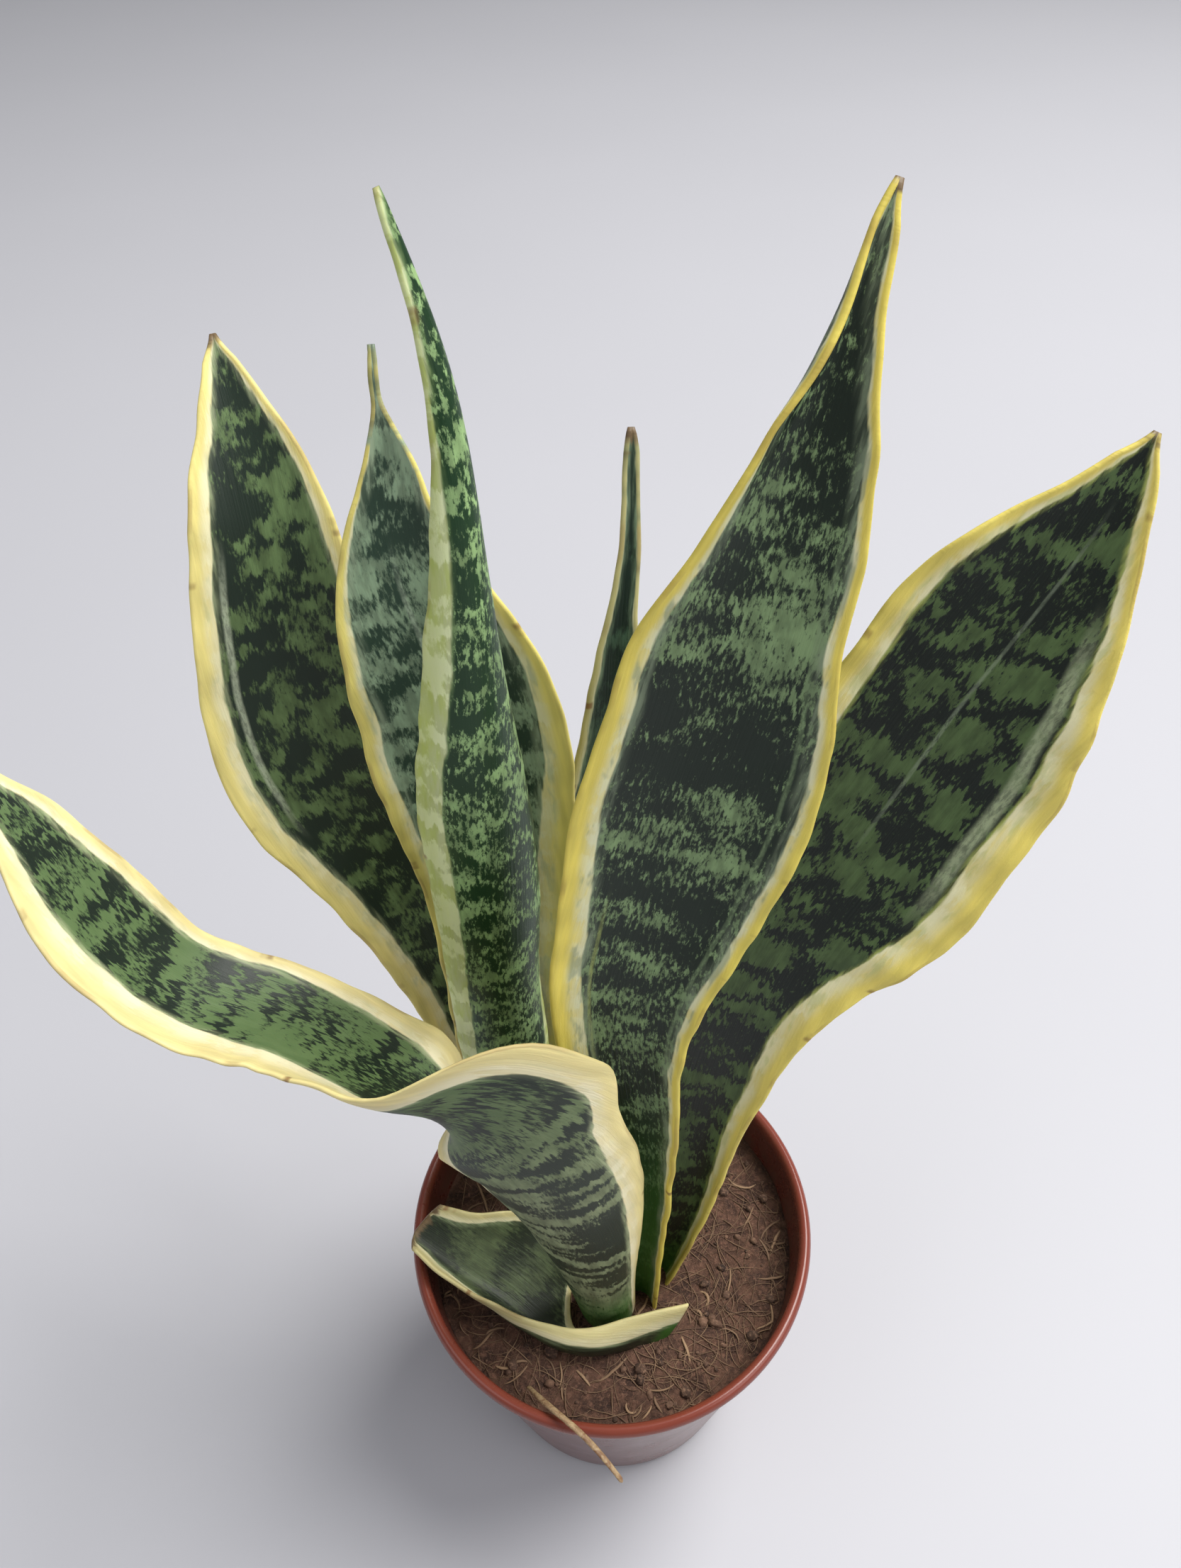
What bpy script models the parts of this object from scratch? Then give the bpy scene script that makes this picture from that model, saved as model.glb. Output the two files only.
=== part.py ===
"""Potted variegated snake plant: nursery pot, soil, rhizome, eight leaves and a dry straw.

Built in metres, +Z up, standing on z = 0 with the pot's axis on the Z axis.
Every size below is in millimetres and is turned into metres as the meshes are made.
"""
from math import cos, pi, radians, sin

import bmesh
import bpy
import numpy as np

for item in list(bpy.data.objects):
    bpy.data.objects.remove(item, do_unlink=True)

MM = 0.001

# ---- overall sizes ----
POT_RIM_DIAMETER = 120.0
POT_HEIGHT = 102.0
PLANT_SCALE = 1.0

# ---- pot ----
POT_BASE_DIAMETER = 84.0
WALL = 1.4
FLOOR = 1.6
LIP_BULGE = 1.3
LIP_DEPTH = 4.5
HOLE_COUNT = 6
HOLE_DIAMETER = 9.0
HOLE_RING_RADIUS = 27.0
POT_SIDES = 72

# ---- soil and what it holds ----
GAP = 0.35
SOIL_BELOW_RIM = 14.0
SOIL_UNEVEN = 1.0
CROWN_BELOW_SOIL = 8.0
RHIZOME_RADIUS = 6.5
ROOT_RADIUS = 1.6
ROOT_REACH = 44.0

# ---- leaves ----
LEAF_THICKNESS = 2.6
MARGIN_THICKNESS = 1.2
LEAF_ROWS = 25
HALF_COLUMNS = 3

SOIL_TOP = POT_HEIGHT - SOIL_BELOW_RIM
CROWN = SOIL_TOP - CROWN_BELOW_SOIL

# A bigger plant in the same pot has its leaves only a little further apart at their bases.
CROWDING = 0.4
BASE_SPREAD = 1 + CROWDING * (PLANT_SCALE - 1)

# ---- finishes: linear colour and roughness; nothing here is metal ----
FINISHES = {
    "terracotta_plastic": ((0.36, 0.07, 0.04), 0.30),
    "coir_soil": ((0.10, 0.055, 0.035), 0.92),
    "rhizome_skin": ((0.55, 0.36, 0.14), 0.65),
    "leaf_skin": ((0.045, 0.115, 0.055), 0.42),
    "dry_straw": ((0.38, 0.24, 0.12), 0.70),
}

# Every leaf: where its base stands on the pot's floor plan, the compass angle its inner face looks
# along at the base, the midrib as points measured from that base, the half widths to the left and
# right of the midrib and how far each half curls inwards, all at equal steps from base to tip.
LEAVES = {
    "leaf_left_back": {
        "base": (-34, 31), "face": -75,
        "midrib": [(0, 0, 0), (1, 3, 35), (-1, 6, 70), (-8, 10, 110), (-24, 19, 150), (-35, 27, 182),
                   (-37, 39, 220), (-44, 63, 256)],
        "left": [9, 11, 14, 17, 20, 25, 20, 14, 1], "right": [8, 9, 11, 16, 22, 23, 20, 14, 1],
        "curl_left": [60, 50, 40, 30, 25, 25, 25, 25, 30],
        "curl_right": [60, 50, 40, 30, 25, 25, 25, 25, 30], "twist": [0, 0],
    },
    "leaf_mid_back": {
        "base": (-26, 26), "face": -85,
        "midrib": [(0, 0, 0), (-1, 2, 40), (-1, 7, 94), (0, 11, 124), (-2, 18, 171), (-8, 24, 203),
                   (-13.8, 31, 228), (-14.2, 37, 244), (-14.2, 44, 263)],
        "left": [9, 9.5, 10, 11, 12, 13, 14, 14.5, 15, 15.5, 16, 17, 18, 19.5, 21, 22.3, 23, 22.5, 21,
                 18.3, 14.8, 8.6, 4, 0.6, 0.6],
        "right": [9, 9.5, 10, 11, 12, 13.5, 15, 16, 17, 17.5, 18, 19, 20, 21, 22, 23, 24, 23.4, 21.6,
                  17.7, 14, 9.8, 6, 0.6, 0.6],
        "curl_left": [40, 35, 30, 25, 25, 25, 25, 25, 30],
        "curl_right": [40, 35, 30, 25, 25, 25, 25, 25, 30], "twist": [0, 0],
    },
    "leaf_rolled": {
        "base": (-28, 14), "face": 100,
        "midrib": [(0, 0, 0), (2, 1, 34), (2, 1, 92), (5, 2, 142), (8, 4, 200), (9, 9, 251),
                   (7, 14, 275), (-1, 20, 303)],
        "left": [9, 12, 15, 17, 18, 16, 10, 4, 1], "right": [9, 11, 13, 15, 17, 18, 12, 6, 1],
        "curl_left": [45, 50, 60, 75, 80, 90, 100, 90, 60],
        "curl_right": [45, 50, 60, 70, 70, 80, 90, 90, 60],
        "twist": [0, 0, 5, 10, 15, 25, 45, 70, 80],
    },
    "leaf_small_back": {
        "base": (-15, 38), "face": -80,
        "midrib": [(0, 0, 0), (1, 1, 40), (4, 3, 81), (11, 7, 121), (21, 14, 172), (23, 18, 199),
                   (25, 24, 218), (26, 34, 242)],
        "left": [8, 9, 10, 11, 12, 11, 8, 2.5, 1], "right": [8, 9, 10, 11, 11, 7, 4, 2, 1],
        "curl_left": [60, 50, 40, 30, 25, 25, 25, 25, 30],
        "curl_right": [60, 50, 40, 30, 25, 25, 25, 25, 30], "twist": [0, 0],
    },
    "leaf_tall_centre": {
        "base": (6, -17), "face": -95,
        "midrib": [(0, 0, 0), (2, 6, 53), (0, 11, 102), (-1, 16, 136), (5, 21, 163), (13, 26, 191),
                   (21, 30, 219), (31, 38, 261), (44, 52, 301)],
        "left": [9, 10, 11, 12, 13, 14, 15, 17, 20, 22, 24, 23, 22, 15, 11, 5, 1],
        "right": [9, 9, 9, 10, 11, 13, 14, 17, 20, 23, 24, 22, 17, 15, 11, 5, 1],
        "curl_left": [70, 65, 60, 55, 50, 45, 40, 37, 35, 32, 30, 30, 32, 45, 85, 130, 60],
        "curl_right": [90, 80, 60, 45, 30, 20, 20, 30, 30], "twist": [0, 0],
    },
    "leaf_wide_right": {
        "base": (11, -9), "face": -105,
        "midrib": [(0, 0, 0), (9, 2, 34), (14, 6, 77), (21, 11, 120), (34, 18, 155), (48, 24, 178),
                   (62, 30, 203), (85, 40, 240), (93, 45, 256)],
        "left": [10, 11, 13, 17, 22, 26, 25, 22, 1],
        "right": [8, 8, 8, 9, 10, 11, 13, 15, 20, 27, 31, 30, 30, 25, 18, 9, 1],
        "curl_left": [70, 60, 45, 30, 20, 15, 15, 15, 30],
        "curl_right": [110, 95, 70, 40, 20, 15, 15, 20, 30], "twist": [0, 0],
    },
    "leaf_bent_front": {
        "base": (-2, -27), "face": 85,
        "midrib": [(0, 0, 0), (-3, 1, 35), (-8, 2, 69), (-18, 4, 98), (-30, 7, 113), (-43, 13, 118),
                   (-59, 23, 120), (-77, 33, 123), (-97, 38, 132), (-122, 49, 172), (-134, 57, 194)],
        "left": [11, 12, 13, 15, 17, 19, 21, 23, 25, 28, 37, 38, 27, 22, 21, 21, 21, 20, 19, 18, 18, 15,
                 11, 6, 1],
        "right": [11, 14, 18, 22, 25, 25, 23, 21, 17, 15, 14, 10, 1],
        "curl_left": [90, 80, 60, 40, 40, 30, 20, 15, 15],
        "curl_right": [90, 75, 55, 40, 35, 30, 25, 15, 15],
        "twist": [0, 0, 0, 0, 0, 0, 0, 0, 0, 0, -5, -25, -60, -74, -80, -84, -88, -92, -95, -98, -100,
                  -100, -100, -100, -100],
    },
    
"leaf_low_front": {
        "base": (10, -31), "face": 95,
        "midrib": [(0, 0, 0), (-9, -1, 5), (-19, -2, 9), (-30, 3, 11), (-40, 11, 14), (-50, 17, 18),
                   (-60, 22, 24), (-68, 26, 29)],
        "left": [23, 18, 15, 13, 13, 12, 10, 8, 5], "right": [3, 3, 3, 3, 5, 13, 23, 25, 23, 19, 14, 11, 9],
        "curl_left": [20, 60, 110, 130, 120, 110, 95, 80, 60], "curl_right": [60, 50, 40, 30, 20, 20, 20],
        "twist": [0, -30, -70, -95, -105, -110, -110],
    },
}

# ---- smooth curves ----
def smooth_line(points, count):
    """A natural cubic through the points, read at count equal steps along its length."""
    knots = np.array(points, float)
    steps = np.linalg.norm(np.diff(knots, axis=0), axis=1)
    at = np.concatenate([[0.0], np.cumsum(steps)])
    size = len(knots)
    matrix = np.eye(size)
    right = np.zeros((size, 3))
    for i in range(1, size - 1):
        matrix[i, i - 1:i + 2] = steps[i - 1], 2 * (steps[i - 1] + steps[i]), steps[i]
        right[i] = 6 * ((knots[i + 1] - knots[i]) / steps[i] - (knots[i] - knots[i - 1]) / steps[i - 1])
    bend = np.linalg.solve(matrix, right)
    dense = []
    for x in np.linspace(0, at[-1], 400):
        i = int(min(max(np.searchsorted(at, x) - 1, 0), size - 2))
        ahead = at[i + 1] - x
        behind = x - at[i]
        step = steps[i]
        dense.append((bend[i] * ahead ** 3 + bend[i + 1] * behind ** 3) / (6 * step)
                     + (knots[i] / step - bend[i] * step / 6) * ahead
                     + (knots[i + 1] / step - bend[i + 1] * step / 6) * behind)
    dense = np.array(dense)
    run = np.concatenate([[0.0], np.cumsum(np.linalg.norm(np.diff(dense, axis=0), axis=1))])
    even = np.linspace(0, run[-1], count)
    return np.stack([np.interp(even, run, dense[:, k]) for k in range(3)], 1)


def smooth_values(values, at):
    """Values given at equal steps, read anywhere between 0 and 1 without kinks."""
    listed = np.array(values, float)
    slope = np.gradient(listed)
    x = np.clip(np.asarray(at, float), 0, 1) * (len(listed) - 1)
    i = np.clip(np.floor(x).astype(int), 0, len(listed) - 2)
    f = x - i
    start = (2 * f ** 3 - 3 * f ** 2 + 1) * listed[i] + (f ** 3 - 2 * f ** 2 + f) * slope[i]
    end = (3 * f ** 2 - 2 * f ** 3) * listed[i + 1] + (f ** 3 - f ** 2) * slope[i + 1]
    return start + end


def carried_frames(path, face, twist):
    """Along the path: its direction, the way the inner face looks and the way to the right margin."""
    along = np.gradient(path, axis=0)
    along /= np.linalg.norm(along, axis=1)[:, None]
    inward = np.array([cos(radians(face)), sin(radians(face)), 0.0])
    frames = []
    for direction, turn in zip(along, np.radians(twist)):
        inward = inward - inward.dot(direction) * direction
        inward /= np.linalg.norm(inward)
        across = np.cross(direction, inward)
        frames.append((inward * cos(turn) + across * sin(turn), across * cos(turn) - inward * sin(turn)))
    return frames


# ---- meshes ----
def add_object(name, corners, faces):
    mesh = bpy.data.meshes.new(name)
    mesh.from_pydata([tuple(float(v) * MM for v in corner) for corner in corners], [], faces)
    mesh.update()
    made = bpy.data.objects.new(name, mesh)
    bpy.context.scene.collection.objects.link(made)
    shape = bmesh.new()
    shape.from_mesh(mesh)
    bmesh.ops.recalc_face_normals(shape, faces=shape.faces[:])
    shape.to_mesh(mesh)
    shape.free()
    return made


def leaf(name, shape, grow=0.0):
    """A closed leaf; grow thickens and widens it all round, for the space it needs in the soil."""
    base = np.array([BASE_SPREAD * shape["base"][0], BASE_SPREAD * shape["base"][1], CROWN])
    points = [base + PLANT_SCALE * np.array(point, float) for point in shape["midrib"]]
    path = smooth_line(points, LEAF_ROWS)
    at = np.linspace(0, 1, LEAF_ROWS)
    frames = carried_frames(path, shape["face"], smooth_values(shape["twist"], at))
    path[0] -= (path[1] - path[0]) / np.linalg.norm(path[1] - path[0]) * 5 * grow
    widths = [PLANT_SCALE * smooth_values(shape[side], at) for side in ("left", "right")]
    curls = [np.radians(smooth_values(shape[side], at)) for side in ("curl_left", "curl_right")]
    columns = 2 * HALF_COLUMNS + 1
    inner, outer = [], []
    for row in range(LEAF_ROWS):
        inward, across = frames[row]
        middle = LEAF_THICKNESS + (MARGIN_THICKNESS - LEAF_THICKNESS) * at[row] ** 2
        for column in range(columns):
            offset = (column - HALF_COLUMNS) / HALF_COLUMNS
            side = 1 if offset > 0 else 0
            sign = 1.0 if offset > 0 else -1.0
            reach = max(widths[side][row], 0.8) + grow
            turn = max(curls[side][row], 0.02)
            part = abs(offset)
            sideways = reach * sin(turn * part) / turn
            raised = reach * (1 - cos(turn * part)) / turn
            centre = path[row] + sign * sideways * across + raised * inward
            normal = inward * cos(turn * part) - sign * across * sin(turn * part)
            half = (middle + (MARGIN_THICKNESS - middle) * part ** 1.5) / 2 + grow
            inner.append(centre + half * normal)
            outer.append(centre - half * normal)
    corners = inner + outer
    back = len(inner)
    faces = []
    for row in range(LEAF_ROWS - 1):
        for column in range(columns - 1):
            a = row * columns + column
            b = a + columns
            faces.append((a, a + 1, b + 1, b))
            faces.append((back + a, back + b, back + b + 1, back + a + 1))
        left = row * columns
        right = left + columns - 1
        faces.append((left, left + columns, back + left + columns, back + left))
        faces.append((right, back + right, back + right + columns, right + columns))
    for column in range(columns - 1):
        low = column
        high = (LEAF_ROWS - 1) * columns + column
        faces.append((low, back + low, back + low + 1, low + 1))
        faces.append((high, high + 1, back + high + 1, back + high))
    return add_object(name, corners, faces)


def dress(made, finish):
    """Gives an object one of the finishes, in a material of its own."""
    colour, roughness = FINISHES[finish]
    material = bpy.data.materials.new(made.name + "_" + finish)
    material.use_nodes = True
    shader = material.node_tree.nodes["Principled BSDF"]
    shader.inputs["Base Color"].default_value = (*colour, 1.0)
    shader.inputs["Roughness"].default_value = roughness
    shader.inputs["Metallic"].default_value = 0.0
    made.data.materials.clear()
    made.data.materials.append(material)


def lathe(name, profile, sides):
    """Turns (radius, height) points, first and last on the axis, into one closed body."""
    corners = [(0.0, 0.0, profile[0][1])]
    for radius, height in profile[1:-1]:
        for i in range(sides):
            turn = 2 * pi * i / sides
            corners.append((radius * cos(turn), radius * sin(turn), height))
    corners.append((0.0, 0.0, profile[-1][1]))
    faces = []
    rings = len(profile) - 2
    for i in range(sides):
        j = (i + 1) % sides
        faces.append((0, 1 + j, 1 + i))
        top = 1 + (rings - 1) * sides
        faces.append((len(corners) - 1, top + i, top + j))
        for ring in range(rings - 1):
            low = 1 + ring * sides
            high = low + sides
            faces.append((low + i, low + j, high + j, high + i))
    return add_object(name, corners, faces)


def tube(name, points, radii, sides, count, grow=0.0):
    """A closed round tube through the points with flat ends; grow makes it fatter and longer."""
    path = smooth_line(points, count)
    along = np.gradient(path, axis=0)
    along /= np.linalg.norm(along, axis=1)[:, None]
    path[0] -= along[0] * grow
    path[-1] += along[-1] * grow
    thickness = smooth_values(radii, np.linspace(0, 1, count)) + grow
    side = np.cross(along[0], (0.36, 0.48, 0.80))
    corners = []
    for centre, direction, radius in zip(path, along, thickness):
        side = side - side.dot(direction) * direction
        side /= np.linalg.norm(side)
        other = np.cross(direction, side)
        for i in range(sides):
            turn = 2 * pi * i / sides
            corners.append(centre + radius * (cos(turn) * side + sin(turn) * other))
    faces = [tuple(range(sides)), tuple(range(len(corners) - sides, len(corners)))]
    for ring in range(count - 1):
        for i in range(sides):
            a = ring * sides + i
            b = ring * sides + (i + 1) % sides
            faces.append((a, b, b + sides, a + sides))
    return add_object(name, corners, faces)


def combine(target, tools, operation):
    """Joins the tools to the target or cuts them out of it, then removes them."""
    for tool in tools:
        change = target.modifiers.new("combine", "BOOLEAN")
        change.operation = operation
        change.solver = "EXACT"
        change.object = tool
        graph = bpy.context.evaluated_depsgraph_get()
        result = bpy.data.meshes.new_from_object(target.evaluated_get(graph))
        target.modifiers.clear()
        target.data = result
        bpy.data.objects.remove(tool, do_unlink=True)


def tidy(target, distance=0.002):
    """Welds doubled corners and drops crumbs that a cut left loose."""
    shape = bmesh.new()
    shape.from_mesh(target.data)
    bmesh.ops.remove_doubles(shape, verts=shape.verts[:], dist=distance * MM)
    shells = []
    left = set(shape.faces)
    while left:
        shell = {left.pop()}
        edge_faces = list(shell)
        while edge_faces:
            face = edge_faces.pop()
            for edge in face.edges:
                for other in edge.link_faces:
                    if other in left:
                        left.remove(other)
                        shell.add(other)
                        edge_faces.append(other)
        shells.append(shell)
    largest = max(shells, key=len)
    for shell in shells:
        if shell is not largest:
            bmesh.ops.delete(shape, geom=list(shell), context="FACES")
    bmesh.ops.delete(shape, geom=[v for v in shape.verts if not v.link_faces], context="VERTS")
    bmesh.ops.triangulate(shape, faces=shape.faces[:])
    bmesh.ops.recalc_face_normals(shape, faces=shape.faces[:])
    shape.to_mesh(target.data)
    shape.free()


# ---- pot ----
rim = POT_RIM_DIAMETER / 2
foot = POT_BASE_DIAMETER / 2


def outer_radius(height):
    """The outside of the wall under the lip."""
    return foot + (rim - LIP_BULGE - foot) * height / POT_HEIGHT


def inner_radius(height):
    return outer_radius(height) - WALL


lip_low = POT_HEIGHT - LIP_DEPTH
pot_profile = [
    (0.0, 0.0),
    (foot * 0.45, 0.0),
    (foot - 1.0, 0.0),
    (foot, 1.0),
    (outer_radius(POT_HEIGHT * 0.5), POT_HEIGHT * 0.5),
    (outer_radius(lip_low), lip_low),
    (rim - 0.2, lip_low + 1.2),
    (rim, POT_HEIGHT - 1.8),
    (rim - 0.5, POT_HEIGHT - 0.5),
    (rim - 1.5, POT_HEIGHT),
    (rim - 2.6, POT_HEIGHT - 0.5),
    (inner_radius(lip_low), lip_low),
    (inner_radius(POT_HEIGHT * 0.5), POT_HEIGHT * 0.5),
    (inner_radius(FLOOR), FLOOR),
    (foot * 0.45, FLOOR),
    (0.0, FLOOR),
]
pot = lathe("pot", pot_profile, POT_SIDES)
holes = []
for i in range(HOLE_COUNT):
    turn = 2 * pi * (i + 0.13) / HOLE_COUNT
    drill = lathe("drill", [(0, -2), (HOLE_DIAMETER / 2, -2), (HOLE_DIAMETER / 2, FLOOR + 2),
                            (0, FLOOR + 2)], 16)
    drill.location = (HOLE_RING_RADIUS * cos(turn) * MM, HOLE_RING_RADIUS * sin(turn) * MM, 0)
    holes.append(drill)
bpy.context.view_layer.update()
combine(pot, holes, "DIFFERENCE")
tidy(pot)
dress(pot, "terracotta_plastic")

# ---- rhizome with its roots ----
front = np.array([6.0 * BASE_SPREAD, -19.0 * BASE_SPREAD, CROWN])
rear = np.array([-27.0 * BASE_SPREAD, 27.0 * BASE_SPREAD, CROWN])
drop = np.array([0.0, 0.0, -GAP - RHIZOME_RADIUS])
middle = (front + rear) / 2


def rhizome(name, grow):
    path = [front + drop + (6, -7, 0), front + drop, middle + drop + (3, 2, -2), rear + drop,
            rear + drop + (-4, 7, 1)]
    thick = RHIZOME_RADIUS
    body = tube(name, path, [thick * 0.5, thick, thick * 0.85, thick, thick * 0.5], 12, 13, grow)
    roots = []
    for i, along in enumerate((0.1, 0.4, 0.65, 0.9)):
        start = front + drop + (rear - front) * along
        turn = radians(200 + 130 * i)
        reach = np.array([cos(turn), sin(turn), 0.0])
        points = [start, start + 9 * reach + (0, 0, -14), start + 13 * reach + (0, 0, -28),
                  start + 11 * reach + (0, 0, -ROOT_REACH)]
        thin = ROOT_RADIUS
        roots.append(tube("root", points, [thin * 1.2, thin * 1.1, thin, thin * 0.6], 8, 8, grow))
    combine(body, roots, "UNION")
    return body


stem = rhizome("rhizome", 0.0)
tidy(stem)
dress(stem, "rhizome_skin")

# ---- leaves ----
for leaf_name, leaf_shape in LEAVES.items():
    dress(leaf(leaf_name, leaf_shape), "leaf_skin")

# ---- soil ----
RINGS = 8
SOIL_SIDES = 48
SOIL_TURN = 0.6


def soil_body():
    low = FLOOR + GAP
    side = SOIL_TOP - 1.0
    corners = [(0.0, 0.0, low)]
    for radius, height in ((inner_radius(low) - GAP - 0.2, low), (inner_radius(side) - GAP - 0.2, side)):
        for i in range(SOIL_SIDES):
            turn = 2 * pi * (i + SOIL_TURN) / SOIL_SIDES
            corners.append((radius * cos(turn), radius * sin(turn), height))
    edge = inner_radius(side) - GAP - 0.2
    for ring in range(1, RINGS):
        radius = edge * (1 - ring / RINGS)
        for i in range(SOIL_SIDES):
            turn = 2 * pi * (i + SOIL_TURN) / SOIL_SIDES
            x = radius * cos(turn)
            y = radius * sin(turn)
            wave = sin(x * 0.13 + 1.0) * cos(y * 0.11 - 0.4) + 0.5 * sin(x * 0.31 - y * 0.27)
            corners.append((x, y, SOIL_TOP + SOIL_UNEVEN * wave))
    corners.append((0.0, 0.0, SOIL_TOP + SOIL_UNEVEN * 0.8))
    faces = []
    last = len(corners) - 1
    for i in range(SOIL_SIDES):
        j = (i + 1) % SOIL_SIDES
        faces.append((0, 1 + j, 1 + i))
        for ring in range(RINGS):
            a = 1 + ring * SOIL_SIDES
            faces.append((a + i, a + j, a + SOIL_SIDES + j, a + SOIL_SIDES + i))
        top = 1 + RINGS * SOIL_SIDES
        faces.append((last, top + i, top + j))
    return add_object("soil", corners, faces)


soil = soil_body()
cutters = [rhizome("space", GAP)]
for leaf_name, leaf_shape in LEAVES.items():
    cutters.append(leaf("space", leaf_shape, GAP))
combine(soil, cutters, "DIFFERENCE")
tidy(soil)
dress(soil, "coir_soil")

# ---- dry straw over the rim ----
def by_the_rim(turn, outwards, height):
    """A point at an angle in degrees, so far outside the rim, at a height."""
    radius = rim + outwards
    return (radius * cos(radians(turn)), radius * sin(radians(turn)), height)


straw_points = [
    by_the_rim(-119.6, -9.4, SOIL_TOP + 4.0),
    by_the_rim(-108.8, -4.0, POT_HEIGHT + 1.5),
    by_the_rim(-98.4, 1.7, POT_HEIGHT + 2.6),
    by_the_rim(-93.5, 6.1, POT_HEIGHT + 1.0),
    by_the_rim(-90.0, 10.0, POT_HEIGHT - 3.0),
]
dress(tube("straw", straw_points, [0.7, 1.0, 1.0, 0.9, 0.6], 8, 12), "dry_straw")
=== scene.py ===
"""The looks of the potted variegated snake plant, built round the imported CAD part.

Shapes are worked out in millimetres, as in the CAD part, and turned into metres as meshes are made.
"""
from math import cos, pi, radians, sin

import bmesh
import bpy
import numpy as np
from mathutils import Matrix, Vector, noise


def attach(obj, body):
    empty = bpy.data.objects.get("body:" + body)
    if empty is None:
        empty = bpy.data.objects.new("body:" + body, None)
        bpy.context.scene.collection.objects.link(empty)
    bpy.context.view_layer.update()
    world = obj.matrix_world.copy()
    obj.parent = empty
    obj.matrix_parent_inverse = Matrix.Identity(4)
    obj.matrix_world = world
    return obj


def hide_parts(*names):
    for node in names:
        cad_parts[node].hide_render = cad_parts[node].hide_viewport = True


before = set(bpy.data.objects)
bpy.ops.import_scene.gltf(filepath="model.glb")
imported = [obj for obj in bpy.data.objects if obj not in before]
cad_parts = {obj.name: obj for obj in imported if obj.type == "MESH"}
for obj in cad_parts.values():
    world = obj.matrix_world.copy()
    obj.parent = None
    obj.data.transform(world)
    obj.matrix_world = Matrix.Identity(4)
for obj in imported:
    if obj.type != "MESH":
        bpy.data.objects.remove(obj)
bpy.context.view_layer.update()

MM = 0.001
ROOT = "root"

# ---- sizes shared with the CAD part ----
POT_RIM_RADIUS = 60.0
POT_FOOT_RADIUS = 42.0
POT_HEIGHT = 102.0
WALL = 1.4
FLOOR = 1.6
LIP_BULGE = 1.3
LIP_DEPTH = 4.5
HOLE_COUNT = 6
HOLE_DIAMETER = 9.0
HOLE_RING_RADIUS = 27.0
HOLE_SHIFT = 0.13
SOIL_TOP = 88.0
CROWN = 80.0
LEAF_THICKNESS = 2.6
MARGIN_THICKNESS = 1.2

WALL_SLOPE = (POT_RIM_RADIUS - LIP_BULGE - POT_FOOT_RADIUS) / POT_HEIGHT

# ---- how finely things are made ----
# ROUND_EDGE holds the degrees at which a leaf's rounded margin has its corners.
LEAF_ROWS = 190
HALF_COLUMNS = 16
ROUND_EDGE = (50, 90, 130)
POT_SIDES = 168
HOLE_SIDES = 32
SOIL_RINGS = 150
SOIL_SIDES = 260
STRAND_SIDES = 6
FIBRE_POINTS = 9
STRAW_POINTS = 60

# ---- leaf margins ----
# How far a margin wanders and a leaf's least half width are in millimetres, the margin's wave up and
# down is a share of the half width, and the rounding of the tip is a share of the leaf's length.
EDGE_WANDER = 0.35
LEAST_REACH = 0.3
EDGE_WAVE = 0.07
TIP_SHARE = 0.02

# ---- what lies on the soil ----
THIN_FIBRES = 900
FLAT_FIBRES = 110
CRUMBS = 260

# ---- looks that the leaves share ----
# MIDDLE_LEVEL parts the dark from the light when half of the mottling is light. A leaf's upper part
# begins at the first share of its length in UPPER_PART and is fully reached at the second.
MIDDLE_LEVEL = 0.575
UPPER_PART = (0.3, 0.5)
DEEP_DARK, DEEP_LIGHT = "16231a", "557041"
YOUNG_GREEN = "3d7226"
SCAR_BROWN = "8a6238"
DRY_DARK, DRY_LIGHT = "4b3a2a", "8f7857"

# ---- where the dust inside the pot is thickest and thinnest: heights in millimetres ----
DUST_THICK = 86.0
DUST_THIN = 99.0

# ---- floor: half of its side in millimetres ----
FLOOR_REACH = 5000

# ---- light and camera: places in metres, the lens and its sensor in millimetres ----
WORLD_TINT = (0.96, 0.97, 1.0, 1.0)
WORLD_STRENGTH = 0.30
LIGHT_TARGET = (0.0, 0.0, 0.2)
CAMERA_PLACE = (-0.0007, -0.1514, 0.4415)
CAMERA_DIP = radians(45.32)
CAMERA_ROLL = radians(-2.41)
CAMERA_LENS = 26.37
SENSOR_WIDTH = 36.0

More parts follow.
